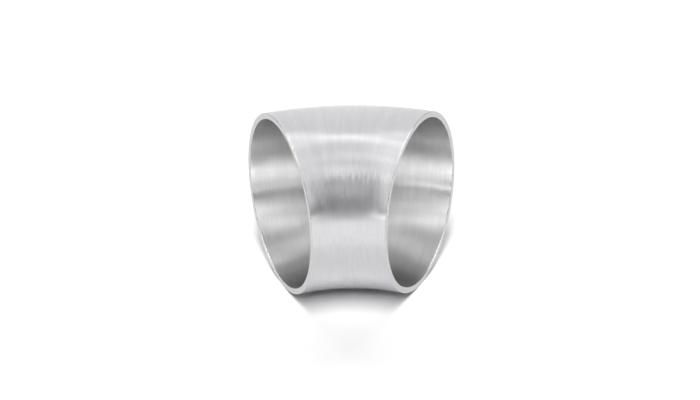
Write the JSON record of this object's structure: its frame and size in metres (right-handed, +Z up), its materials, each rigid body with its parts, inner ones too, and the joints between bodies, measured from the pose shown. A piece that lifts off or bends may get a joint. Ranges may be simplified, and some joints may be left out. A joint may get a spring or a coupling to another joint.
{
  "type": "pipe elbow",
  "caption": "Short-radius 45 degree pipe elbow in brushed stainless steel, pressed in half shells, seam welded and ground flush, with plain square-cut ends for butt welding.",
  "frame": {"origin": "centre of the footprint, on the plane that the elbow lies on", "axes": "+Z up, square to the bend plane; +Y towards the outside of the bend; +X towards the right-hand end"},
  "size_m": [0.0584, 0.0528, 0.0508],
  "materials": {
    "brushed_shell": "brushed round the pipe, fine grit, deburred edges",
    "seam_weld": "ground flush inside and out and brushed with the shells"
  },
  "bodies": {
    "root": {"upper_half_shell": "brushed_shell", "lower_half_shell": "brushed_shell", "inner_seam_weld": "seam_weld", "outer_seam_weld": "seam_weld"}
  },
  "joints": []
}
